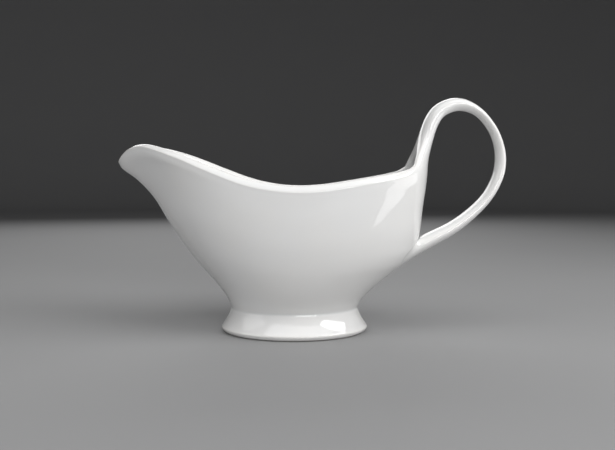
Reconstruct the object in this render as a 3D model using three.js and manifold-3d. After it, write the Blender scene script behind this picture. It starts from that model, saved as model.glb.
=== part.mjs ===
// A porcelain gravy boat: an oval bowl drawn out into a pouring spout, an oval pedestal foot
// and a tall looped strap handle. Millimetres, +Z up. The spout points to -X and the handle
// to +X. The foot stands on Z = 0, and the origin is under the middle of the whole length.
import * as THREE from 'three';
import { LoftGeometry } from 'three/addons/geometries/LoftGeometry.js';
import { mergeVertices } from 'three/addons/utils/BufferGeometryUtils.js';
import Module from 'manifold-3d';

// Foot: an oval ring that flares from the neck to the table.
const footHeight = 12.6;
const footLength = 77;
const footWidth = 58;
const neckLength = 67;
const neckWidth = 47;
const footWall = 5; // at the neck
const standingRing = 2.6; // width of the flat ring that touches the table
const footEdge = 2.6; // rounding between the flare and the standing ring

// Bowl, measured from the centre of the foot.
const spoutReach = 92.8; // to the spout tip
const backReach = 70.4; // to the back wall at the rim
const bowlWidth = 76;
const widestBack = 2.5; // how far the widest place lies towards the spout at the rim
const rimLow = 76.6; // heights of the rim above the table
const rimTip = 89.6;
const rimCrest = 97.25;
const rimBack = 85.5;
const spoutNarrowing = 0.45; // share of the width taken off at the spout tip
const spoutFullness = 9.75; // how much rounder than an oval the spout end is, seen from above
const wall = 3.8;
const floorThickness = 4.8;

// Rounded lip: height and thickness at shares of the way from the spout tip to the back wall,
// and the height share at shares of the way from its outer to its inner side.
const lipHeights = [[0, 0.9], [0.08, 1.1], [0.2, 2.1], [0.34, 2.7], [1, 2.7]];
const lipThicknesses = [[0, 3.8], [0.3, 4.4], [1, 4.4]];
const lipProfile = [[0, 0], [0.17, 0.5], [0.46, 1], [0.8, 0.74], [1, 0]];
const lipBack = lipHeights[lipHeights.length - 1][1];

// The rim sweeps up beside the handle: rise by degrees from the back, and the power of the
// height with which the wall below takes part in it.
const rimSweep = [
  [0, 3.9], [26.25, 3.9], [30, 2.7], [33.75, 1.7], [37.5, 0.95], [41.25, 0.45], [48, 0.1], [55, 0],
];
const sweepPower = 12;

// Handle: a strap that leaves the rim, loops over and comes back to the wall.
const loopReach = 38.4; // middle of the strap, beyond the back wall
const loopRise = 33.8; // middle of the strap, above the rim
const rootHeight = 43; // where its middle line meets the wall below
const rootAngle = 0.55; // radians above the horizontal at that place
const rootLength = 9; // from the wall to the joint of the strap
const upperRoot = 5.7; // joint of the strap above the rim
const strapWidth = 12;
const strapRootWidth = 28.6;
const strapRootThickness = 8.2;
const strapTopThickness = 6.8;
const strapThinnest = 4.3;
const strapBackThickness = 5.4;
const strapLowThickness = 7.8;
const strapLowWidth = 13.8;

// The upper root by height from the rim, distance inside the outer wall, thickness and width,
// and how much of the back wall's bend the strap keeps at shares of its length.
const upperRootSizes = [[-8, 1.6, 2.2, 24], [-1.5, 0.8, 6.8, 38], [2.2, 0.1, 8.2, 34]];
const strapCurl = [[0, 0.85], [0.03, 0.55], [0.06, 0.25], [0.1, 0], [1, 0]];

// The lower root spreads out to an oval on the wall.
const rootPrintWidth = 29;
const rootPrintHeight = 16.2;
const rootPrintDrop = 2.6; // its middle lies this far below the strap's middle line
const rootBend = 0.55; // share of the root that keeps to the strap's direction

// Fineness of the surfaces.
const columns = 64;
const strapSides = 24;
const strapStations = 60;

// Shares of the way out (second number) at shares of the height (first number).
const frontProfile = [
  [0, 0], [0.06, 0.028], [0.16, 0.12], [0.3, 0.28], [0.58, 0.542],
  [0.8, 0.73], [0.9, 0.865], [0.955, 0.965], [1, 1],
];
const backProfile = [
  [0, 0], [0.05, 0.055], [0.13, 0.2], [0.25, 0.475], [0.345, 0.7],
  [0.42, 0.81], [0.52, 0.87], [0.75, 0.93], [1, 1],
];
const sideProfile = [
  [0, 0], [0.05, 0.12], [0.15, 0.38], [0.3, 0.66], [0.5, 0.87], [0.75, 0.98], [1, 1],
];

// Height of the rim at shares of the way from the spout tip to the back wall. The second
// number goes from 0 at the low place to 1 at the tip, the crest or the back.
const rimSlopes = [
  [0, rimTip, 1], [0.012, rimCrest, 0.717], [0.03, rimCrest, 0.833], [0.055, rimCrest, 0.937],
  [0.085, rimCrest, 0.995], [0.11, rimCrest, 1], [0.15, rimCrest, 0.937],
  [0.22, rimCrest, 0.767], [0.32, rimCrest, 0.46], [0.43, rimCrest, 0.155],
  [0.56, rimLow, 0], [0.66, rimBack, 0.06], [0.76, rimBack, 0.32], [0.88, rimBack, 0.68],
  [1, rimBack, 1],
];
const rimLine = rimSlopes.map(([at, top, share]) => [at, rimLow + (top - rimLow) * share]);

// The value at a place on a smooth curve through knots of [place, value].
function through(knots, at) {
  const last = knots.length - 1;
  const inside = Math.min(Math.max(at, knots[0][0]), knots[last][0]);
  let i = 0;
  while (i < last - 1 && inside > knots[i + 1][0]) i++;
  const slopeOf = (k) => {
    const step = (a, b) => (knots[b][1] - knots[a][1]) / (knots[b][0] - knots[a][0]);
    if (k === 0) return step(0, 1);
    if (k === last) return step(last - 1, last);
    const before = knots[k][0] - knots[k - 1][0];
    const after = knots[k + 1][0] - knots[k][0];
    return (step(k - 1, k) * after + step(k, k + 1) * before) / (before + after);
  };
  const span = knots[i + 1][0] - knots[i][0];
  const t = (inside - knots[i][0]) / span;
  const rise = t * t * (3 - 2 * t);
  const leave = t * (1 - t) * (1 - t) * span * slopeOf(i);
  const arrive = t * t * (t - 1) * span * slopeOf(i + 1);
  return knots[i][1] + (knots[i + 1][1] - knots[i][1]) * rise + leave + arrive;
}

const lerp = THREE.MathUtils.lerp;

// A measure of the rim above a place along the length.
function alongRim(knots, x) {
  return through(knots, (x + spoutReach) / (spoutReach + backReach));
}

// How far along the length the outer wall is: along runs from -1 at the spout to 1 at the
// back, and height from 0 at the neck to 1 where the rounded lip starts.
function placeAlong(along, height) {
  const middle = -widestBack * height;
  const front = lerp(neckLength / 2, spoutReach, through(frontProfile, height)) + middle;
  const back = lerp(neckLength / 2, backReach, through(backProfile, height)) - middle;
  const fullness = spoutFullness * height * along * (1 - along) ** 2 * (1 + along);
  return middle + (along * (front + back) - along ** 2 * (front - back)) / 2 + fullness;
}

// A point of the outer wall: angle 0 is the back and pi the spout, height runs from 0 at the
// neck to 1 where the rounded lip starts.
function outerPoint(angle, height) {
  const half = lerp(neckWidth / 2, bowlWidth / 2, through(sideProfile, height));
  const along = Math.cos(angle);
  const narrowing = spoutNarrowing * height ** 1.5 * Math.min(along, 0) ** 4;
  const y = half * Math.sin(angle) * (1 - narrowing);
  const rimX = placeAlong(along, 1);
  const top = alongRim(rimLine, rimX) - alongRim(lipHeights, rimX);
  const sweep = through(rimSweep, THREE.MathUtils.radToDeg(Math.acos(along)));
  const z = lerp(footHeight, top, height) + sweep * height ** sweepPower;
  return new THREE.Vector3(placeAlong(along, height), y, z);
}

// Outward direction of the outer wall, from its slopes along both ways of the surface.
function outerNormal(angle, height) {
  const small = 1e-3;
  const low = Math.max(height - small, 0);
  const high = Math.min(height + small, 1);
  const around = outerPoint(angle + small, height).sub(outerPoint(angle - small, height));
  const up = outerPoint(angle, high).sub(outerPoint(angle, low));
  return around.cross(up).normalize();
}

const angles = Array.from({ length: columns }, (_, i) => (2 * Math.PI * i) / columns);
const shares = (count) => Array.from({ length: count + 1 }, (_, i) => i / count);

// Sections of the wall surface that lies a depth inside the outer one.
function wallSections(heights, depth) {
  return heights.map((height) => angles.map((angle) => {
    const inward = outerNormal(angle, height).multiplyScalar(-depth);
    return outerPoint(angle, height).add(inward);
  }));
}

// Sections of the rounded lip, from the outer wall over the top to the inner wall.
function lipSections(places) {
  return places.map((share) => angles.map((angle) => {
    const outward = outerNormal(angle, 1).setZ(0).normalize();
    const point = outerPoint(angle, 1);
    const rimX = point.x;
    point.addScaledVector(outward, -alongRim(lipThicknesses, rimX) * share);
    point.z += alongRim(lipHeights, rimX) * through(lipProfile, share);
    return point;
  }));
}

// Sections that close the inside with a dished floor, from its edge to its middle point.
function floorSections(edge, floorHeight, count) {
  const middle = new THREE.Vector3(0, 0, floorHeight);
  return shares(count).slice(1).map((share) => edge.map((point) => {
    const out = share < 1 ? Math.cos((share * Math.PI) / 2) : 0;
    const target = new THREE.Vector3().lerpVectors(middle, point, out);
    target.z = lerp(point.z, floorHeight, Math.sin((share * Math.PI) / 2) ** 0.8);
    return target;
  }));
}

const wasm = await Module();
wasm.setup();

// A closed mesh as a solid that can be joined and cut. Faces that shrink to a line where a
// section is a single point are left out.
function solidOf(geometry) {
  const bare = new THREE.BufferGeometry();
  bare.setAttribute('position', geometry.getAttribute('position'));
  bare.setIndex(geometry.index);
  const merged = mergeVertices(bare, 1e-4);
  const corners = merged.index.array;
  const triVerts = [];
  for (let i = 0; i < corners.length; i += 3) {
    const [a, b, c] = corners.slice(i, i + 3);
    if (a !== b && b !== c && c !== a) triVerts.push(a, b, c);
  }
  return new wasm.Manifold(new wasm.Mesh({
    numProp: 3,
    vertProperties: merged.getAttribute('position').array,
    triVerts: new Uint32Array(triVerts),
  }));
}

function geometryOf(solid) {
  const mesh = solid.getMesh();
  const geometry = new THREE.BufferGeometry();
  geometry.setAttribute('position', new THREE.BufferAttribute(mesh.vertProperties, 3));
  geometry.setIndex(new THREE.BufferAttribute(mesh.triVerts, 1));
  geometry.computeVertexNormals();
  return geometry;
}

// A loft through sections, closed at each end by faces that meet in the section's middle.
function closedLoft(sections) {
  const pinch = (section) => {
    const middle = new THREE.Vector3();
    section.forEach((point) => middle.addScaledVector(point, 1 / section.length));
    return section.map(() => middle.clone());
  };
  const ends = [sections[0], sections[sections.length - 1]].map(pinch);
  return solidOf(new LoftGeometry([ends[0], ...sections, ends[1]]));
}

// Middle line of the strap. The upper half is placed by shares of its reach and rise, the
// lower half by shares of its reach and drop, and both ends are joints beside the bowl.
function strapCurve() {
  const drop = rimBack - rootHeight;
  const wallHeight = (rootHeight - footHeight) / (rimBack - lipBack - footHeight);
  const wallX = outerPoint(0, wallHeight).x;
  const upper = [[-0.042, 0.42], [0.055, 0.736], [0.169, 0.904], [0.404, 1], [0.659, 0.907],
    [0.88, 0.63], [0.99, 0.294]];
  const lower = [[0.992, 0], [0.93, 0.18], [0.8, 0.376], [0.56, 0.593], [0.32, 0.75]];
  const place = (x, z) => new THREE.Vector3(x, 0, z);
  return new THREE.CatmullRomCurve3([
    place(backReach - 0.45 * strapRootThickness, rimBack + upperRoot),
    ...upper.map(([x, z]) => place(backReach + x * loopReach, rimBack + z * loopRise)),
    ...lower.map(([x, z]) => place(backReach + x * loopReach, rimBack - z * drop)),
    place(
      wallX + rootLength * Math.cos(rootAngle),
      rootHeight + rootLength * Math.sin(rootAngle),
    ),
  ]);
}

// How the back wall bends away from its middle, per square of the distance to the side.
const bendAngle = Math.PI / 6;
const bendPlace = (bowlWidth / 2) * Math.sin(bendAngle);
const backBend = (backReach - placeAlong(Math.cos(bendAngle), 1)) / bendPlace ** 2;

// An oval section of the strap across a direction in the XZ plane, bent like the back wall
// as far as the curl says.
function strapSection(centre, direction, thickness, width, curl) {
  const across = new THREE.Vector3(direction.z, 0, -direction.x);
  return Array.from({ length: strapSides }, (_, i) => {
    const angle = (2 * Math.PI * i) / strapSides;
    const point = centre.clone().addScaledVector(across, (thickness / 2) * Math.cos(angle));
    point.y += (width / 2) * Math.sin(angle);
    point.x -= curl * backBend * point.y ** 2;
    return point;
  });
}

const strapThickness = [
  [0, strapRootThickness], [0.08, lerp(strapRootThickness, strapTopThickness, 0.2)],
  [0.27, strapTopThickness], [0.36, lerp(strapTopThickness, strapThinnest, 0.9)],
  [0.45, strapThinnest], [0.58, strapBackThickness], [0.75, strapBackThickness],
  [1, strapLowThickness],
];
const rootBreadth = (share) => lerp(strapWidth, strapRootWidth, share);
const strapBreadth = [
  [0, strapRootWidth], [0.015, rootBreadth(0.76)], [0.03, rootBreadth(0.554)],
  [0.045, rootBreadth(0.386)], [0.065, rootBreadth(0.229)], [0.085, rootBreadth(0.12)],
  [0.1, rootBreadth(0.066)], [0.15, strapWidth], [0.85, strapWidth], [1, strapLowWidth],
];

const curve = strapCurve();
const strapSections = shares(strapStations).map((share) => strapSection(
  curve.getPointAt(share),
  curve.getTangentAt(share),
  through(strapThickness, share),
  through(strapBreadth, share),
  through(strapCurl, share),
));

// The upper root grows out of the back wall and ends in the first section of the strap.
function upperRootSolid() {
  const up = new THREE.Vector3(0, 0, 1);
  const sections = upperRootSizes.map(([height, depth, thickness, width]) => {
    const centre = new THREE.Vector3(backReach - depth - thickness / 2, 0, rimBack + height);
    return strapSection(centre, up, thickness, width, 1);
  });
  return closedLoft([...sections, strapSections[0]]);
}

// The oval on the wall where the lower root ends, a depth inside the outer wall.
function rootPrint(depth) {
  return Array.from({ length: strapSides }, (_, i) => {
    const turn = (2 * Math.PI * i) / strapSides;
    const y = (rootPrintWidth / 2) * Math.sin(turn);
    const z = rootHeight - rootPrintDrop + (rootPrintHeight / 2) * Math.cos(turn);
    const height = (z - footHeight) / (rimBack - lipBack - footHeight);
    const half = lerp(neckWidth / 2, bowlWidth / 2, through(sideProfile, height));
    const angle = Math.asin(y / half);
    return outerPoint(angle, height).addScaledVector(outerNormal(angle, height), -depth);
  });
}

// The lower root leaves the last section of the strap along its middle line and spreads out
// to the oval on the wall.
function lowerRootSolid(wallCore) {
  const direction = curve.getTangentAt(1);
  const start = strapSections[strapStations];
  const end = rootPrint(0);
  const section = (u) => start.map((from, i) => {
    const knee = from.clone().addScaledVector(direction, rootBend * from.distanceTo(end[i]));
    return new THREE.QuadraticBezierCurve3(from, knee, end[i]).getPoint(u);
  });
  const spread = shares(6).slice(1).map(section);
  return closedLoft([start, ...spread, rootPrint(wall)]).subtract(wallCore);
}

function bowlGeometry() {
  const outerHeights = [0, 0.03, 0.07, 0.12, 0.18, 0.25, 0.32, 0.39, 0.46, 0.54, 0.63, 0.72,
    0.8, 0.86, 0.91, 0.955, 1];
  const innerHeights = [0.96, 0.9, 0.82, 0.72, 0.6, 0.5, 0.4, 0.3, 0.2, 0.13];
  const floorHeight = footHeight + floorThickness;
  const inside = wallSections(innerHeights, wall);
  const shell = solidOf(new LoftGeometry([
    ...wallSections(outerHeights, 0),
    ...lipSections([0.08, 0.17, 0.3, 0.46, 0.64, 0.8, 0.92, 1]),
    ...inside,
    ...floorSections(inside[inside.length - 1], floorHeight, 4),
  ], { capStart: true }));
  const point = (height) => angles.map(() => new THREE.Vector3(0, 0, height));
  const core = wallSections(innerHeights, wall / 2).reverse();
  const wallCore = solidOf(new LoftGeometry([point(floorHeight), ...core, point(rimLow)]));
  return geometryOf(shell.add(lowerRootSolid(wallCore)).add(upperRootSolid()));
}

// An oval of the foot at a height, a distance inside the outline of a length and width.
function oval(length, width, inset, height) {
  return angles.map((angle) => new THREE.Vector3(
    (length / 2 - inset) * Math.cos(angle),
    (width / 2 - inset) * Math.sin(angle),
    height,
  ));
}

// The ring's section runs from its inner lower edge round the rounded outer edge and up the
// flare, over its flat top, and down the hollow inside back to where it began.
function footGeometry() {
  const flare = (share) => {
    const out = (1 - share) ** 1.5;
    const height = lerp(footEdge, footHeight, share);
    return oval(lerp(neckLength, footLength, out), lerp(neckWidth, footWidth, out), 0, height);
  };
  const hollow = (share) => {
    const out = (1 - share) ** 2;
    const inset = lerp(footWall, footEdge + standingRing, out);
    const height = footHeight * share;
    return oval(lerp(neckLength, footLength, out), lerp(neckWidth, footWidth, out), inset, height);
  };
  const edge = (share) => {
    const turn = (Math.PI / 2) * (1 - share);
    const inset = footEdge * (1 - Math.cos(turn));
    return oval(footLength, footWidth, inset, footEdge * (1 - Math.sin(turn)));
  };
  return geometryOf(solidOf(new LoftGeometry([
    hollow(0),
    ...shares(3).map(edge),
    ...shares(6).slice(1).map(flare),
    ...shares(4).reverse().map(hollow),
  ])));
}

function handleGeometry() {
  return geometryOf(closedLoft(strapSections));
}

const glaze = { roughness: 0.12, metalness: 0 };
const group = new THREE.Group();

function addPiece(name, geometry, colour) {
  const material = new THREE.MeshStandardMaterial({ color: colour, ...glaze });
  const mesh = new THREE.Mesh(geometry, material);
  mesh.name = name;
  group.add(mesh);
}

addPiece('bowl', bowlGeometry(), 0xf4f3ef);
addPiece('foot', footGeometry(), 0xf2f1ed);
addPiece('handle', handleGeometry(), 0xf5f4f0);

// The middle of the length stands above the origin.
const box = new THREE.Box3().setFromObject(group);
group.position.x = -(box.min.x + box.max.x) / 2;

export default group;
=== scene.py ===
import math

import bpy
import numpy as np
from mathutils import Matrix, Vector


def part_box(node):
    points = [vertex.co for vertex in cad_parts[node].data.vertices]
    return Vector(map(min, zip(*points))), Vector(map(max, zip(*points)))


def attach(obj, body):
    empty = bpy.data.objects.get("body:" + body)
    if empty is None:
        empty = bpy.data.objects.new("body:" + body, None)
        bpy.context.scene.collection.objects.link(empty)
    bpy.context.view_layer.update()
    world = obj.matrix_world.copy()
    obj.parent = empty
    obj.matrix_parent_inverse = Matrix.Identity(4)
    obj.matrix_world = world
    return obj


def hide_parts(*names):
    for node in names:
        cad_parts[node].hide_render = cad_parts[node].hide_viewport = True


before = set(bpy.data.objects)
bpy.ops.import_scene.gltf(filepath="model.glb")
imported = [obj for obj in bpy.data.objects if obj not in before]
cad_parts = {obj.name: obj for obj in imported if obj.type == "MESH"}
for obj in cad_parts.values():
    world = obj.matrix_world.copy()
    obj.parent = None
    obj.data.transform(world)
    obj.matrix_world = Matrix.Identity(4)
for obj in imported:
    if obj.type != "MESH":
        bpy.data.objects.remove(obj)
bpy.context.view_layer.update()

mm = 0.001
footLow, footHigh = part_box("foot")
# the shapes below are in mm round the middle of the foot
origin = np.array([(footLow.x + footHigh.x) / 2, 0.0, 0.0]) / mm

# One cage of quads runs over the whole pot, so that the glaze flows over the joints. It is
# subdivided as a whole and then parted into bowl, foot and handle.
cage = {
    "columns": 96,  # round the bowl, four sides of the grid that fills the floor
    "patchColumns": 14,  # faces taken out of the wall where the strap grows out
    "patchRows": 7,
    "strapRings": 44,
    "levels": 2,
    "corrections": 2, "correctionShare": .8,  # against the shrinking of a subdivided cage
}
around = 2 * np.pi * np.arange(cage["columns"]) / cage["columns"]


def through(knots, at):
    # smooth curve through knots of [place, value]
    place, value = np.array(knots, float).T
    width = np.diff(place)
    step = np.diff(value) / width
    middle = (step[:-1] * width[1:] + step[1:] * width[:-1]) / (width[:-1] + width[1:])
    slope = np.concatenate([step[:1], middle, step[-1:]])
    at = np.clip(at, place[0], place[-1])
    i = np.clip(np.searchsorted(place, at, side="right") - 1, 0, len(step) - 1)
    t = (at - place[i]) / width[i]
    rise = value[i] + (value[i + 1] - value[i]) * t * t * (3 - 2 * t)
    return rise + t * (1 - t) ** 2 * width[i] * slope[i] + t * t * (t - 1) * width[i] * slope[i + 1]


def lerp(a, b, t):
    return a + (b - a) * t


def unit(v):
    return v / np.linalg.norm(v, axis=-1, keepdims=True)


foot = {
    "height": 12.6, "length": 77, "width": 58, "neckLength": 67, "neckWidth": 47,
    "wall": 5,  # at the neck
    "ring": 2.6,  # flat ring that stands on the table
    "edge": 2.6,  # rounding between flare and ring
    "flarePower": 1.5, "hollowPower": 2,
}

bowl = {
    "spoutReach": 92.8, "backReach": 70.4, "width": 76,
    "widestBack": 2.5,  # how far the widest place lies towards the spout
    "rimBack": 85.5,
    "spoutNarrowing": 0.45, "spoutFullness": 9.75,
    "wall": 3.8, "floor": 4.8, "dishPower": .8,
    # the lip by share of the way from spout to back, its section by share of thickness and height
    "lipHeight": [[0, .9], [.08, 1.1], [.2, 2.1], [.34, 2.7], [1, 2.7]],
    "lipThickness": [[0, 3.8], [.3, 4.4], [1, 4.4]],
    "lipSection": [[0, 0], [.17, .5], [.46, 1], [.8, .74], [1, 0]],
    # share of the height, share of the way out
    "front": [[0, 0], [.06, .028], [.16, .12], [.3, .28], [.58, .542], [.8, .73], [.9, .865],
              [.955, .965], [1, 1]],
    "back": [[0, 0], [.05, .055], [.13, .2], [.25, .475], [.345, .7], [.42, .81], [.52, .87],
             [.75, .93], [1, 1]],
    "side": [[0, 0], [.05, .12], [.15, .38], [.3, .66], [.5, .87], [.75, .98], [1, 1]],
    # share of the way from spout to back, height of the rim there
    "rim": [[0, 89.6], [.012, 91.4], [.03, 93.8], [.055, 95.95], [.085, 97.15], [.11, 97.25],
            [.15, 95.95], [.22, 92.436], [.32, 86.101],
            [.43, 79.809], [.56, 76.6], [.66, 77.134], [.76, 79.448], [.88, 82.652], [1, 85.5]],
    # the rim sweeps up beside the handle: mm by degrees from the back, and how much of it each
    # row of the cage takes, counted from the row below the lip
    "sweepUp": [[0, 3.9], [26.25, 3.9], [30, 2.7], [33.75, 1.7], [37.5, .95], [41.25, .45],
                [48, .1], [55, 0]],
    "sweepShares": {-4: .12, -3: .3, -2: .5, -1: .65, 0: .8, 1: 1, 2: 1, 3: 1, 4: 1, 5: 1,
                    6: .8, 7: .5, 8: .25, 9: .1},
    # and the inner wall swells inwards there: share by degrees from the back, mm by row
    "swell": [[0, 1], [7.5, .93], [15, .6], [22.5, .2], [30, 0], [60, 0]],
    "swellDepths": {3: .8, 4: 2.2, 5: 3.6, 6: 4.2, 7: 4.2, 8: 3.3, 9: 2.1, 10: 1.0, 11: .35},
}


def alongRim(name, angle):
    # a measure of the rim that changes from spout to back
    x = placeAlong(np.cos(angle), np.ones_like(angle))
    return through(bowl[name], (x + bowl["spoutReach"]) / (bowl["spoutReach"] + bowl["backReach"]))


def placeAlong(along, height):
    # along runs from -1 at the spout to 1 at the back, height from 0 at the neck to 1 at the lip
    middle = -bowl["widestBack"] * height
    half = foot["neckLength"] / 2
    front = lerp(half, bowl["spoutReach"], through(bowl["front"], height)) + middle
    back = lerp(half, bowl["backReach"], through(bowl["back"], height)) - middle
    full = bowl["spoutFullness"] * height * along * (1 - along) ** 2 * (1 + along)
    return middle + (along * (front + back) - along ** 2 * (front - back)) / 2 + full


def wallPoint(angle, height):
    # outer wall: angle 0 is the back, pi the spout
    half = lerp(foot["neckWidth"] / 2, bowl["width"] / 2, through(bowl["side"], height))
    along = np.cos(angle)
    narrow = bowl["spoutNarrowing"] * np.maximum(height, 0) ** 1.5 * np.minimum(along, 0) ** 4
    top = alongRim("rim", angle) - alongRim("lipHeight", angle)
    return np.stack([
        placeAlong(along, height),
        half * np.sin(angle) * (1 - narrow),
        lerp(foot["height"], top, height),
    ], axis=-1)


def wallNormal(angle, height):
    small = 1e-3
    low, high = np.maximum(height - small, 0), np.minimum(height + small, 1)
    sideways = wallPoint(angle + small, height) - wallPoint(angle - small, height)
    return unit(np.cross(sideways, wallPoint(angle, high) - wallPoint(angle, low)))


def oval(length, width, inset, z):
    return np.stack([
        (length / 2 - inset) * np.cos(around),
        (width / 2 - inset) * np.sin(around),
        np.full(len(around), float(z)),
    ], axis=-1)


def footRow(out, inset, z):
    length = lerp(foot["neckLength"], foot["length"], out)
    return oval(length, lerp(foot["neckWidth"], foot["width"], out), inset, z)


# rows of the cage, from the roof of the hollow foot round the outside to the floor of the bowl,
# and the piece that the faces below each row belong to
rows = []
rowPiece = []


def addRow(points, piece):
    rows.append(points)
    rowPiece.append(piece)
    return len(rows) - 1


insideRing = foot["edge"] + foot["ring"]
addRow(footRow(0, foot["wall"] + 1.6, foot["height"]), "bowl")
addRow(footRow(0, foot["wall"], foot["height"]), "bowl")
for share in (.9, .72, .5, .28, .1, .03):
    out = (1 - share) ** foot["hollowPower"]
    addRow(footRow(out, lerp(foot["wall"], insideRing, out), foot["height"] * share), "foot")
for inset in (insideRing - .25, insideRing - .9, foot["edge"] + .9):
    addRow(footRow(1, inset, 0), "foot")
for share in (0, .2, .4, .6, .8, 1):
    lift = share * np.pi / 2
    inset, z = 1 - math.sin(lift), 1 - math.cos(lift)
    addRow(footRow(1, foot["edge"] * inset, foot["edge"] * z), "foot")
for share in (.12, .26, .42, .58, .74, .88):
    out = (1 - share) ** foot["flarePower"]
    addRow(footRow(out, 0, lerp(foot["edge"], foot["height"], share)), "foot")

# the seven faces of the lower patch lie between the eight rows from .32 to .52
outerHeights = [0, .03, .07, .12, .175, .23, .28, .32, .348, .376, .404, .432, .46, .49, .52,
                .56, .61, .67, .73, .79, .85, .9, .94, .968, .988]
innerHeights = [.975, .93, .87, .8, .72, .63, .54, .45, .37, .3, .235, .18, .13]
wallStart = len(rows)
patchBottom = wallStart + outerHeights.index(.32)
patchTop = wallStart + outerHeights.index(.52)
for height in outerHeights:
    addRow(wallPoint(around, np.full(len(around), height)), "foot" if height == 0 else "bowl")

rimOuter = len(rows) - 1
ones = np.ones(len(around))
outward = wallNormal(around, ones)
outward[:, 2] = 0
outward = unit(outward)
for inwards, upwards in bowl["lipSection"]:
    inset = (alongRim("lipThickness", around) * inwards)[:, None]
    points = wallPoint(around, ones) - outward * inset
    points[:, 2] += alongRim("lipHeight", around) * upwards
    addRow(points, "bowl")
for height in innerHeights:
    heights = np.full(len(around), height)
    addRow(wallPoint(around, heights) - bowl["wall"] * wallNormal(around, heights), "bowl")
rimInner = rimOuter + cage["patchRows"]
fromBack = np.degrees(np.minimum(around, 2 * np.pi - around))
for step, taken in bowl["sweepShares"].items():
    rows[rimOuter + step][:, 2] += through(bowl["sweepUp"], fromBack) * taken
for step, depth in bowl["swellDepths"].items():
    rows[rimOuter + step][:, 0] -= through(bowl["swell"], fromBack) * depth
edgeOfFloor = rows[-1]
floorMiddle = np.array([0, 0, foot["height"] + bowl["floor"]])
for share in (.2, .4, .6):
    points = lerp(floorMiddle, edgeOfFloor, math.cos(share * math.pi / 2))
    sunk = math.sin(share * math.pi / 2) ** bowl["dishPower"]
    points[:, 2] = lerp(edgeOfFloor[:, 2], floorMiddle[2], sunk)
    addRow(points, "bowl")
print("rows of bowl and foot:", len(rows))

handle = {
    "reach": 38.4, "rise": 33.8,  # middle line beyond the back wall, above the rim
    "rootHeight": 43, "rootAngle": .55, "rootLength": 9, "upperRoot": 5.7, "rootLean": .4,
    # shares of reach and rise
    "upper": [[-.042, .42], [.055, .736], [.169, .904], [.404, 1], [.659, .907],
              [.88, .63], [.99, .294]],
    # shares of reach and of the drop to the lower root
    "lower": [[.992, 0], [.93, .18], [.8, .376], [.56, .593], [.32, .75]],
    # share of the length, thickness and width there
    "thickness": [[0, 8.2], [.08, 7.9], [.27, 6.8], [.36, 4.55], [.45, 4.3], [.58, 5.4], [.75, 5.4],
                  [1, 7.8]],
    "width": [[0, 28.6], [.015, 24.6], [.03, 21.2], [.045, 18.4], [.065, 15.8], [.085, 14],
              [.1, 13.1], [.15, 12], [.85, 12], [1, 13.8]],
    # bend of the back wall per square mm, and the share of it that the strap keeps
    "backBend": .0233,
    "curl": [[0, .85], [.03, .55], [.06, .25], [.1, 0], [1, 0]],
    "corner": 54,  # degrees from the middle of a face of the strap to where its side starts
    # the lower root: oval where it meets the wall, gap to the next ring, share that keeps straight
    "footprintWidth": 29, "footprintHeight": 16.2, "footprintMiddle": 40.4,
    "notch": 1.1, "rootBend": .55,
    "lineSteps": 80, "linePlaces": 1201,  # fineness of the middle line
}


def heightShare(z):
    # share of the wall's height at the back
    return (z - foot["height"]) / (bowl["rimBack"] - bowl["lipHeight"][-1][1] - foot["height"])


def strapLine():
    # centripetal Catmull-Rom curve in the XZ plane, as points evenly spaced along it
    reach, back = handle["reach"], bowl["backReach"]
    drop = bowl["rimBack"] - handle["rootHeight"]
    wallX = wallPoint(np.zeros(1), np.array([heightShare(handle["rootHeight"])]))[0, 0]
    knots = [[back - handle["thickness"][0][1] / 2 + handle["rootLean"],
              bowl["rimBack"] + handle["upperRoot"]]]
    knots += [[back + x * reach, bowl["rimBack"] + z * handle["rise"]] for x, z in handle["upper"]]
    knots += [[back + x * reach, bowl["rimBack"] - z * drop] for x, z in handle["lower"]]
    knots += [[wallX + handle["rootLength"] * math.cos(handle["rootAngle"]),
               handle["rootHeight"] + handle["rootLength"] * math.sin(handle["rootAngle"])]]
    p = np.array(knots)
    p = np.vstack([2 * p[0] - p[1], p, 2 * p[-1] - p[-2]])
    t = np.linspace(0, 1, handle["lineSteps"], endpoint=False)[:, None]
    pieces = []
    for a, b, c, d in zip(p, p[1:], p[2:], p[3:]):
        ab, bc, cd = (np.linalg.norm(v) ** .5 for v in (b - a, c - b, d - c))
        leave = ((b - a) / ab - (c - a) / (ab + bc) + (c - b) / bc) * bc
        arrive = ((c - b) / bc - (d - b) / (bc + cd) + (d - c) / cd) * bc
        pieces.append(b + leave * t + (3 * (c - b) - 2 * leave - arrive) * t ** 2
                      + (2 * (b - c) + leave + arrive) * t ** 3)
    line = np.vstack([*pieces, p[-2]])
    run = np.concatenate([[0], np.cumsum(np.linalg.norm(np.diff(line, axis=0), axis=1))])
    even = np.linspace(0, run[-1], handle["linePlaces"])
    return np.stack([np.interp(even, run, line[:, 0]), np.interp(even, run, line[:, 1])], axis=-1)


line = strapLine()
lineDirection = unit(np.gradient(line, axis=0))


def sideAngles():
    # directions round the strap: finger side, +Y side, outer side, -Y side
    corner = handle["corner"]
    stops = [-corner, corner, 180 - corner, 180 + corner, 360 - corner]
    counts = [cage["patchColumns"], cage["patchRows"]] * 2
    turns = [np.linspace(a, b, n, endpoint=False) for a, b, n in zip(stops, stops[1:], counts)]
    return np.radians(np.concatenate(turns))


strapTurn = sideAngles()


def strapSection(share):
    at = int(round(share * (len(line) - 1)))
    (x, z), (dx, dz) = line[at], lineDirection[at]
    here = lambda name: through(handle[name], np.array([share]))[0]
    thick = here("thickness") / 2 * np.cos(strapTurn)
    wide = here("width") / 2 * np.sin(strapTurn)
    curl = here("curl") * handle["backBend"] * wide ** 2
    return np.stack([x + dz * thick - curl, wide, z - dx * thick], axis=-1)


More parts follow.
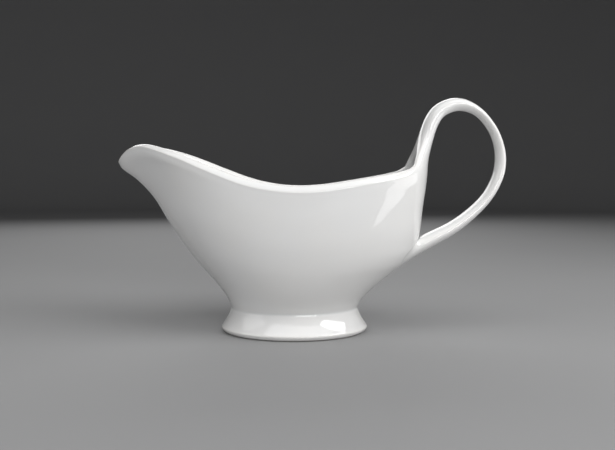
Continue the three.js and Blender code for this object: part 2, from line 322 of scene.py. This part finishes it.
# corners of the two patches, in the order of the strap's rings
halfPatch = cage["patchColumns"] // 2


def patchLoop(first, last):
    step = 1 if last > first else -1
    loop = [(first, c) for c in range(-halfPatch, halfPatch)]
    loop += [(r, halfPatch) for r in range(first, last, step)]
    loop += [(last, c) for c in range(halfPatch, -halfPatch, -1)]
    loop += [(r, -halfPatch) for r in range(last, first, -step)]
    return [(r, c % cage["columns"]) for r, c in loop]


upperLoop = patchLoop(rimOuter, rimInner)
lowerLoop = patchLoop(patchTop, patchBottom)


# the lower root stands on an oval of the wall: angle and share of the height at each corner
across = handle["footprintWidth"] / 2 * np.sin(strapTurn)
upAt = handle["footprintMiddle"] + handle["footprintHeight"] / 2 * np.cos(strapTurn)
heights = heightShare(upAt)
halves = lerp(foot["neckWidth"] / 2, bowl["width"] / 2, through(bowl["side"], heights))
meeting = np.stack([np.arcsin(across / halves), heights], axis=-1)

# the wall's own rows slide along the wall to make room for the root, so the wall keeps its shape
windowColumns = 26
slidePasses = 600
slideRows = range(wallStart + 2, patchTop + 9)
slide = np.zeros((len(rows), 2 * windowColumns + 1, 2))
held = np.zeros(slide.shape[:2], bool)
for (r, c), (angle, height) in zip(lowerLoop, meeting):
    signed = c if c < cage["columns"] / 2 else c - cage["columns"]
    nominal = 2 * np.pi * signed / cage["columns"]
    slide[r, signed + windowColumns] = angle - nominal, height - outerHeights[r - wallStart]
    held[r, signed + windowColumns] = True
inside = np.zeros_like(held)
inside[slideRows.start:slideRows.stop, 1:-1] = True
free = inside & ~held
for _ in range(slidePasses):
    mean = sum(np.roll(slide, way, axis) for axis in (0, 1) for way in (1, -1)) / 4
    slide[free] = mean[free]
for r in slideRows:
    for signed in range(-windowColumns + 1, windowColumns):
        shift = slide[r, signed + windowColumns]
        angle = np.array([2 * np.pi * signed / cage["columns"] + shift[0]])
        height = np.array([outerHeights[r - wallStart] + shift[1]])
        rows[r][signed % cage["columns"]] = wallPoint(angle, height)[0]

points = np.vstack(rows)
faces, facePiece = [], []
pieceNames = ["bowl", "foot", "handle"]


def corner(r, c):
    return r * cage["columns"] + c % cage["columns"]


def inPatch(r, c):
    # the face above row r and after column c
    half = cage["columns"] // 2
    signed = (c + half) % cage["columns"] - half
    inRows = rimOuter <= r < rimInner or patchBottom <= r < patchTop
    return -halfPatch <= signed < halfPatch and inRows


for r in range(len(rows) - 1):
    for c in range(cage["columns"]):
        if not inPatch(r, c):
            faces.append([corner(r, c), corner(r, c + 1), corner(r + 1, c + 1), corner(r + 1, c)])
            facePiece.append(rowPiece[r + 1])


def addPoints(new):
    global points
    first = len(points)
    points = np.vstack([points, new])
    return list(range(first, first + len(new)))


def fillWithGrid(row, piece, down):
    # closes a round row with a square grid, so that no fan of faces meets in one point
    n = cage["columns"] // 4
    loop = [corner(row, c) for c in range(cage["columns"])]
    at = lambda k: loop[(k - n // 2) % len(loop)]
    grid = [[None] * (n + 1) for _ in range(n + 1)]
    for k in range(n):
        grid[n][k], grid[n - k][n] = at(k), at(n + k)
        grid[0][n - k], grid[k][0] = at(2 * n + k), at(3 * n + k)
    new = []
    for i in range(1, n):
        for j in range(1, n):
            u, v = i / n, j / n
            side = (1 - u) * points[grid[0][j]] + u * points[grid[n][j]]
            side += (1 - v) * points[grid[i][0]] + v * points[grid[i][n]]
            corners = (1 - u) * (1 - v) * points[grid[0][0]] + u * (1 - v) * points[grid[n][0]]
            corners = corners + (1 - u) * v * points[grid[0][n]] + u * v * points[grid[n][n]]
            new.append(side - corners)
    names = iter(addPoints(np.array(new)))
    for i in range(1, n):
        for j in range(1, n):
            grid[i][j] = next(names)
    for i in range(n):
        for j in range(n):
            quad = [grid[i][j], grid[i + 1][j], grid[i + 1][j + 1], grid[i][j + 1]]
            faces.append(quad[::-1] if down else quad)
            facePiece.append(piece)
    return [grid[i][j] for i in range(1, n) for j in range(1, n)]


roofInside = fillWithGrid(0, "bowl", True)
floorInside = fillWithGrid(len(rows) - 1, "bowl", False)

upperRing = [corner(r, c) for r, c in upperLoop]
lowerRing = [corner(r, c) for r, c in lowerLoop]
sections = []  # rings with the piece below each
first = strapSection(0)
for share in (.33, .67):
    sections.append((lerp(points[upperRing], first, share), "bowl"))
sections.append((first, "bowl"))
for share in np.linspace(0, 1, cage["strapRings"])[1:]:
    sections.append((strapSection(share), "handle"))
last = strapSection(1)
onWall = wallPoint(*meeting.T)
dx, dz = lineDirection[-1]
gap = np.linalg.norm(onWall - last, axis=1)[:, None]
knee = last + np.array([dx, 0, dz]) * gap * handle["rootBend"]
for share in (.25, .5, .75, None):
    u = 1 - handle["notch"] / gap if share is None else share * (1 - handle["notch"] / gap)
    sections.append(((1 - u) ** 2 * last + 2 * u * (1 - u) * knee + u ** 2 * onWall, "bowl"))

rings = [upperRing] + [addPoints(ring) for ring, _ in sections] + [lowerRing]
ringPiece = ["bowl"] + [piece for _, piece in sections] + ["bowl"]
for s in range(len(rings) - 1):
    for k in range(len(strapTurn)):
        after = (k + 1) % len(strapTurn)
        faces.append([rings[s][k], rings[s][after], rings[s + 1][after], rings[s + 1][k]])
        facePiece.append(ringPiece[s + 1])

# drop the points inside the patches
faces = np.array(faces)
used, flat = np.unique(faces, return_inverse=True)
faces = flat.reshape(faces.shape)
points = points[used]
renumber = {old: new for new, old in enumerate(used.tolist())}


def neighbourSets():
    near = [set() for _ in range(len(points))]
    for a, b, c, d in faces.tolist():
        for p, q in ((a, b), (b, c), (c, d), (d, a)):
            near[p].add(q)
            near[q].add(p)
    return near


near = neighbourSets()


def fair(names, hold=0.0):
    # moves these points so that the surface bends as little as it can between what stays,
    # the more they hold on to their place the less
    index = {name: i for i, name in enumerate(names)}
    left = np.zeros((len(names), len(names)))
    right = np.zeros((len(names), 3))
    for row, name in enumerate(names):
        weights = {}

        def bend(centre, factor):
            weights[centre] = weights.get(centre, 0) - factor
            for n in near[centre]:
                weights[n] = weights.get(n, 0) + factor / len(near[centre])

        bend(name, -1.0)
        for n in near[name]:
            bend(n, 1.0 / len(near[name]))
        for other, weight in weights.items():
            if other in index:
                left[row, index[other]] += weight
            else:
                right[row] -= weight * points[other]
        left[row, row] += hold
        right[row] += hold * points[name]
    points[names] = np.linalg.solve(left, right)


fair([renumber[i] for i in roofInside])
fair([renumber[i] for i in floorInside])

# upper root: the lip sweeps up into the strap. How far from the root the surface is smoothed, in
# mm and in rings up the strap, and how much it holds on to its place
blend = {"alongLip": 10.0, "downWall": 8.0, "downInside": 7.0, "upStrap": 4, "hold": .04}


def rootPoints():
    names = {renumber[i] for ring in rings[:3 + blend["upStrap"]] for i in ring}
    lipBase = points[[renumber[i] for i in upperRing]]
    for r in range(rimOuter - 5, rimInner + 5):
        for c in range(-halfPatch - 5, halfPatch + 6):
            name = renumber.get(corner(r, c))
            if name is None:
                continue
            if r < rimOuter:
                reach = blend["downWall"]
            elif r > rimInner:
                reach = blend["downInside"]
            else:
                reach = blend["alongLip"]
            gap = np.linalg.norm(lipBase - points[name], axis=1).min()
            if gap < reach:
                names.add(name)
    return sorted(names)


fair(rootPoints(), blend["hold"])
print("roots blended in")


def atLimit(p):
    # where each point of the cage ends up on the subdivided surface
    edges = np.zeros_like(p)
    across = np.zeros_like(p)
    count = np.zeros(len(p))
    for k in range(4):
        here = faces[:, k]
        np.add.at(edges, here, (p[faces[:, (k + 1) % 4]] + p[faces[:, (k + 3) % 4]]) / 2)
        np.add.at(across, here, p[faces[:, (k + 2) % 4]])
        np.add.at(count, here, 1)
    n = count[:, None]
    return (n * n * p + 4 * edges + across) / (n * (n + 5))


wanted = points.copy()
for _ in range(cage["corrections"]):
    points = points + (wanted - atLimit(points)) * cage["correctionShare"]

points = (points + origin) * mm
cageMesh = bpy.data.meshes.new("cage")
cageMesh.from_pydata(points.tolist(), [], faces.tolist())
cageMesh.polygons.foreach_set("material_index", [pieceNames.index(p) for p in facePiece])
for name in pieceNames:
    cageMesh.materials.append(bpy.data.materials.new("cage " + name))
cageObject = bpy.data.objects.new("cage", cageMesh)
bpy.context.scene.collection.objects.link(cageObject)
subdivide = cageObject.modifiers.new("glaze", "SUBSURF")
subdivide.levels = subdivide.render_levels = cage["levels"]
subdivide.use_limit_surface = True
evaluated = cageObject.evaluated_get(bpy.context.evaluated_depsgraph_get())
whole = bpy.data.meshes.new_from_object(evaluated)
bpy.data.objects.remove(cageObject)
print("cage:", len(faces), "faces, subdivided:", len(whole.polygons))


def readMesh(mesh):
    co = np.empty(len(mesh.vertices) * 3, np.float32)
    mesh.vertices.foreach_get("co", co)
    corners = np.empty(len(mesh.loops), np.int32)
    mesh.loops.foreach_get("vertex_index", corners)
    piece = np.empty(len(mesh.polygons), np.int32)
    mesh.polygons.foreach_get("material_index", piece)
    return co.reshape(-1, 3).astype(float), corners.reshape(-1, 4), piece


wholePoints, wholeFaces, wholePiece = readMesh(whole)
across = np.cross(wholePoints[wholeFaces[:, 2]] - wholePoints[wholeFaces[:, 0]],
                  wholePoints[wholeFaces[:, 3]] - wholePoints[wholeFaces[:, 1]])
wholeNormals = np.zeros_like(wholePoints)
for k in range(4):
    np.add.at(wholeNormals, wholeFaces[:, k], across)
wholeNormals = unit(wholeNormals)


hollowPasses = 14
hollowGain = 2.2


def hollowness():
    # above 0 where the surface is hollow, where glaze gathers and shade is painted into the colour;
    # below 0 on edges, where it runs thin and a highlight is painted into the colour
    total = np.zeros(len(wholePoints))
    count = np.zeros(len(wholePoints))
    for k in range(4):
        here, there = wholeFaces[:, k], wholeFaces[:, (k + 1) % 4]
        gap = wholePoints[there] - wholePoints[here]
        size = (gap ** 2).sum(1)
        for a, b, way in ((here, there, 1), (there, here, -1)):
            np.add.at(total, a, way * (gap * wholeNormals[a]).sum(1) / size)
            np.add.at(count, a, 1)
    bend = total / count * mm  # per mm
    for _ in range(hollowPasses):
        spread = np.zeros(len(bend))
        count = np.zeros(len(bend))
        for k in range(4):
            np.add.at(spread, wholeFaces[:, k], bend[wholeFaces[:, (k + 1) % 4]])
            np.add.at(count, wholeFaces[:, k], 1)
        bend = (bend + spread / count) / 2
    return bend


glazeDepthAndShade = np.clip(.5 + hollowGain * hollowness(), 0, 1)


def boundaryLoops(quads):
    # open edges of a piece, chained in the direction that a closing face needs
    ahead = {}
    for a, b in np.concatenate([quads[:, [k, (k + 1) % 4]] for k in range(4)]).tolist():
        ahead[(a, b)] = True
    following = {b: a for a, b in ahead if (b, a) not in ahead}
    loops = []
    while following:
        start = next(iter(following))
        loop = [start]
        while following[loop[-1]] != start:
            loop.append(following[loop[-1]])
        for name in loop:
            del following[name]
        loops.append(loop)
    return loops


def makePiece(name, node):
    quads = wholeFaces[wholePiece == pieceNames.index(node)]
    used, flat = np.unique(quads, return_inverse=True)
    quads = flat.reshape(quads.shape)
    co, normals, depth = wholePoints[used], wholeNormals[used], glazeDepthAndShade[used]
    polygons = quads.tolist()
    skin = len(polygons)
    rounds = []
    for loop in boundaryLoops(quads):
        if len(loop) > 3 * cage["columns"]:
            rounds.append(loop)
            continue
        # a joint of the strap: a fan round its middle
        co = np.vstack([co, co[loop].mean(0)])
        depth = np.append(depth, .5)
        normals = np.vstack([normals, [0, 0, 1]])
        polygons += [[a, b, len(co) - 1] for a, b in zip(loop, loop[1:] + loop[:1])]
    if rounds:
        # the flat ring where foot and bowl meet
        outer, inner = sorted(rounds, key=lambda loop: -np.ptp(co[loop, 0]))
        turnOf = lambda i: math.atan2(co[i, 1], co[i, 0] - origin[0] * mm) % (2 * math.pi)
        begin = lambda loop: min(range(len(loop)), key=lambda k: abs(math.sin(turnOf(loop[k]) / 2)))
        outer = outer[begin(outer):] + outer[:begin(outer)]
        inner = inner[::-1]
        inner = inner[begin(inner):] + inner[:begin(inner)]
        for k in range(len(outer)):
            after = (k + 1) % len(outer)
            polygons.append([outer[k], outer[after], inner[after], inner[k]])
    mesh = bpy.data.meshes.new(name)
    mesh.from_pydata(co.tolist(), [], polygons)
    mesh.polygons.foreach_set("use_smooth", [True] * len(polygons))
    mesh.update()
    # how hollow or edged each point is, which the glaze reads for its painted shade in hollows and
    # painted highlight on edges
    depthLayer = mesh.attributes.new("glazeDepthAndShade", "FLOAT", "POINT")
    depthLayer.data.foreach_set("value", depth.astype(np.float32))
    corners = np.empty(len(mesh.loops), np.int32)
    mesh.loops.foreach_get("vertex_index", corners)
    shading = normals[corners]
    for polygon in mesh.polygons[skin:]:
        shading[polygon.loop_start:polygon.loop_start + polygon.loop_total] = polygon.normal
    mesh.normals_split_custom_set(shading.tolist())
    piece = bpy.data.objects.new(name, mesh)
    bpy.context.scene.collection.objects.link(piece)
    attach(piece, "root")
    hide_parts(node)
    print(name, len(mesh.polygons), "faces")
    return piece


pieceOf = {"bowl": "bowl_shell", "foot": "pedestal_foot", "handle": "loop_handle"}
glazedPieces = [makePiece(name, node) for node, name in pieceOf.items()]
bpy.data.meshes.remove(whole)


class Wire:
    # an output socket that can be reckoned with
    def __init__(self, nodes, socket):
        self.nodes, self.socket = nodes, socket

    def reckon(self, operation, *values):
        return self.nodes.add("ShaderNodeMath", {"operation": operation}, dict(enumerate(values)))

    def __add__(self, other):
        return self.reckon("ADD", self, other)

    def __radd__(self, other):
        return self.reckon("ADD", self, other)

    def __sub__(self, other):
        return self.reckon("SUBTRACT", self, other)

    def __rsub__(self, other):
        return self.reckon("SUBTRACT", other, self)

    def __mul__(self, other):
        return self.reckon("MULTIPLY", self, other)

    def __rmul__(self, other):
        return self.reckon("MULTIPLY", self, other)


class Nodes:
    def __init__(self, name):
        self.material = bpy.data.materials.new(name)
        self.material.use_nodes = True
        self.tree = self.material.node_tree
        self.tree.nodes.clear()

    def add(self, kind, settings=None, sockets=None, out=0):
        # settings first, then values or links of the sockets
        node = self.tree.nodes.new(kind)
        for key, value in (settings or {}).items():
            setattr(node, key, value)
        for key, value in (sockets or {}).items():
            if isinstance(value, Wire):
                self.tree.links.new(value.socket, node.inputs[key])
            else:
                node.inputs[key].default_value = value
        return Wire(self, node.outputs[out]) if len(node.outputs) else node

    def mix(self, share, a, b):
        return self.add("ShaderNodeMix", {"data_type": "RGBA"}, {0: share, 6: a, 7: b}, 2)

    def spread(self, value, low, high, toLow=0.0, toHigh=1.0):
        return self.add("ShaderNodeMapRange", {"interpolation_type": "SMOOTHSTEP"},
                        {0: value, 1: low, 2: high, 3: toLow, 4: toHigh})


porcelain = {
    "white": (.86, .86, .855, 1),
    "warm": (.87, .86, .84, 1),  # slight warmth that comes and goes over the body
    "pooledGlazeAndShade": (.80, .82, .815, 1),  # thick glaze in hollows, greyer and darker, and painted shade there
    "thinGlazeAndHighlight": (.90, .885, .86, 1),  # thin glaze on edges, lighter, and a painted highlight there
    "biscuit": (.74, .70, .64, 1),  # bare clay of the standing ring
    "paleBiscuit": (.82, .79, .74, 1),
    "speck": (.42, .36, .30, 1),
    "gloss": .035,
    "biscuitRoughness": .78,
    "bareHeight": .55 * mm, "bareWobble": .5 * mm,
    "specksPerMetre": 75.0,
    "relief": .12 * mm,
    "index": 1.5, "coat": .25, "coatGloss": .03,
}


def glazedPorcelain():
    n = Nodes("glazed porcelain")
    place = n.add("ShaderNodeTexCoord", out=3)
    height = n.add("ShaderNodeSeparateXYZ", sockets={0: place}, out=2)
    depth = n.add("ShaderNodeAttribute", {"attribute_name": "glazeDepthAndShade"}, out=2)
    noise = lambda scale, detail, w=0: n.add("ShaderNodeTexNoise", {"noise_dimensions": "4D"}, {
        "Vector": place, "W": w, "Scale": scale, "Detail": detail, "Roughness": .5})
    cells = lambda out: n.add("ShaderNodeTexVoronoi", {"feature": "F1"}, {
        "Vector": place, "Scale": porcelain["specksPerMetre"], "Randomness": 1.0}, out)
    clouds = noise(22, 2.0)
    runs = noise(55, 3.0, 4.0)
    wobble = (noise(380, 2.0, 9.0) - .5) * porcelain["bareWobble"]
    bareHeight = porcelain["bareHeight"]
    bare = n.spread(height + wobble, bareHeight * .6, bareHeight, 1.0, 0.0)
    chance = n.add("ShaderNodeSeparateColor", sockets={0: cells(1)})
    speck = n.spread(cells(0), .012, .022, 1.0, 0.0) * n.spread(chance, .86, .9)

    colour = n.mix(n.spread(clouds, .35, .65) * .5, porcelain["white"], porcelain["warm"])
    # painted shade: hollows get a greyer, darker colour, partly thick glaze and partly the shade
    # that falls there
    pooledGlazeAndShade = n.spread(depth, .55, .85) * (runs * .4 + .6)
    colour = n.mix(pooledGlazeAndShade, colour, porcelain["pooledGlazeAndShade"])
    # painted highlight: edges get a lighter colour, partly thin glaze and partly the light that
    # edges catch
    colour = n.mix(n.spread(depth, .42, .1) * .6, colour, porcelain["thinGlazeAndHighlight"])
    colour = n.mix(speck * .35, colour, porcelain["speck"])
    grain = noise(1900, 4.0, 2.0)
    colour = n.mix(bare, colour, n.mix(grain, porcelain["biscuit"], porcelain["paleBiscuit"]))

    roughness = porcelain["gloss"] + clouds * .02 + n.spread(depth, .4, .15) * .03
    roughness = roughness * (1 - bare) + bare * porcelain["biscuitRoughness"]
    ripple = noise(36, 1.0, 1.0) + noise(240, 1.0, 3.0) * .05 + noise(900, 1.0, 5.0) * .006
    relief = ripple * (1 - bare) + bare * (grain * .12) - speck * .06
    bump = n.add("ShaderNodeBump", {}, {
        "Strength": 1.0, "Distance": porcelain["relief"], "Height": relief})
    shader = n.add("ShaderNodeBsdfPrincipled", {}, {
        "Base Color": colour, "Roughness": roughness, "Normal": bump, "IOR": porcelain["index"],
        "Coat Weight": (1 - bare) * porcelain["coat"], "Coat Roughness": porcelain["coatGloss"],
        "Coat IOR": porcelain["index"]})
    n.add("ShaderNodeOutputMaterial", {}, {"Surface": shader})
    return n.material


glaze = glazedPorcelain()
for piece in glazedPieces:
    piece.data.materials.append(glaze)
print("glaze done")

sweep = {
    "floor": 1.6, "bend": .7, "height": 2.6, "sides": 96,
    "floorSteps": 6, "bendSteps": 24,
    "colour": (.31, .31, .314, 1), "fleck": (.325, .325, .327, 1), "roughness": .8,
}


def paleSweep():
    # round floor that bends up into a wall on all sides, so it looks the same from everywhere
    steps = sweep["floorSteps"]
    profile = [(sweep["floor"] * k / steps, 0) for k in range(1, steps + 1)]
    for k in range(1, sweep["bendSteps"] + 1):
        a = k / sweep["bendSteps"] * math.pi / 2
        out, up = math.sin(a), 1 - math.cos(a)
        profile.append((sweep["floor"] + sweep["bend"] * out, sweep["bend"] * up))
    profile.append((profile[-1][0], sweep["height"]))
    turns = [2 * math.pi * k / sweep["sides"] for k in range(sweep["sides"])]
    corners = [(r * math.cos(a), r * math.sin(a), z) for r, z in profile for a in turns]
    corners.append((0, 0, 0))
    quads = []
    for k in range(len(profile) - 1):
        for i in range(len(turns)):
            after = (i + 1) % len(turns)
            inner, outer = k * len(turns), (k + 1) * len(turns)
            quads.append([inner + i, outer + i, outer + after, inner + after])
    quads += [[len(corners) - 1, i, (i + 1) % len(turns)] for i in range(len(turns))]
    mesh = bpy.data.meshes.new("sweep")
    mesh.from_pydata(corners, [], quads)
    mesh.polygons.foreach_set("use_smooth", [True] * len(quads))
    piece = bpy.data.objects.new("sweep", mesh)
    bpy.context.scene.collection.objects.link(piece)
    n = Nodes("pale paper")
    place = n.add("ShaderNodeTexCoord", out=3)
    fibre = n.add("ShaderNodeTexNoise", {}, {"Vector": place, "Scale": 9.0, "Detail": 5.0})
    tint = n.mix(fibre, sweep["colour"], sweep["fleck"])
    shader = n.add("ShaderNodeBsdfPrincipled", {}, {
        "Base Color": tint, "Roughness": sweep["roughness"], "Specular IOR Level": .2})
    n.add("ShaderNodeOutputMaterial", {}, {"Surface": shader})
    mesh.materials.append(n.material)


paleSweep()

# each softbox: where it stands, which way it is turned in degrees, its size and its strength
softboxes = {
    "above": {"at": (.06, -.30, .74), "turn": (25, 0, 11), "size": (1.0, .56), "power": 2.9},
    "front": {"at": (.24, -.94, .32), "turn": (73, 0, 14), "size": (.5, .24), "power": 3.1},
    "key": {"at": (.53, -.26, .50), "turn": (52, 0, 64), "size": (.5, .2), "power": 2.3},
    "back": {"at": (-.15, .8, .55), "turn": (-58, 0, 11), "size": (.9, .5), "power": 3.2},
    "left": {"at": (-.5, -.22, .33), "turn": (60, 0, -66), "size": (.38, .26), "power": .45},
    "low": {"at": (.293, -.062, .064), "turn": (-160.4, -10.4, -1.8), "size": (.26, .2),
            "power": .35},
}
for name, box in softboxes.items():
    lamp = bpy.data.lights.new(name, "AREA")
    lamp.shape = "RECTANGLE"
    lamp.size, lamp.size_y = box["size"]
    lamp.energy = box["power"]
    stand = bpy.data.objects.new(name, lamp)
    bpy.context.scene.collection.objects.link(stand)
    stand.location = box["at"]
    stand.rotation_euler = [math.radians(turn) for turn in box["turn"]]
    stand.visible_camera = False

world = bpy.data.worlds.new("room")
bpy.context.scene.world = world
world.use_nodes = True
background = world.node_tree.nodes["Background"].inputs
background["Color"].default_value = (.8, .8, .81, 1)
background["Strength"].default_value = .12

view = {
    "at": (-2.42 * mm, -341.41 * mm, 78.04 * mm), "down": 1.8,
    "lens": 37.72, "sensor": 36.0, "shift": -.0358,
}
cameraData = bpy.data.cameras.new("camera")
cameraData.lens = view["lens"]
cameraData.sensor_width = view["sensor"]
cameraData.shift_y = view["shift"]
cameraData.clip_start = .01
camera = bpy.data.objects.new("camera", cameraData)
bpy.context.scene.collection.objects.link(camera)
camera.location = view["at"]
camera.rotation_euler = (math.radians(90 - view["down"]), 0, 0)
bpy.context.scene.camera = camera
bpy.context.scene.view_settings.view_transform = "Standard"
print("floor, lights and camera done")
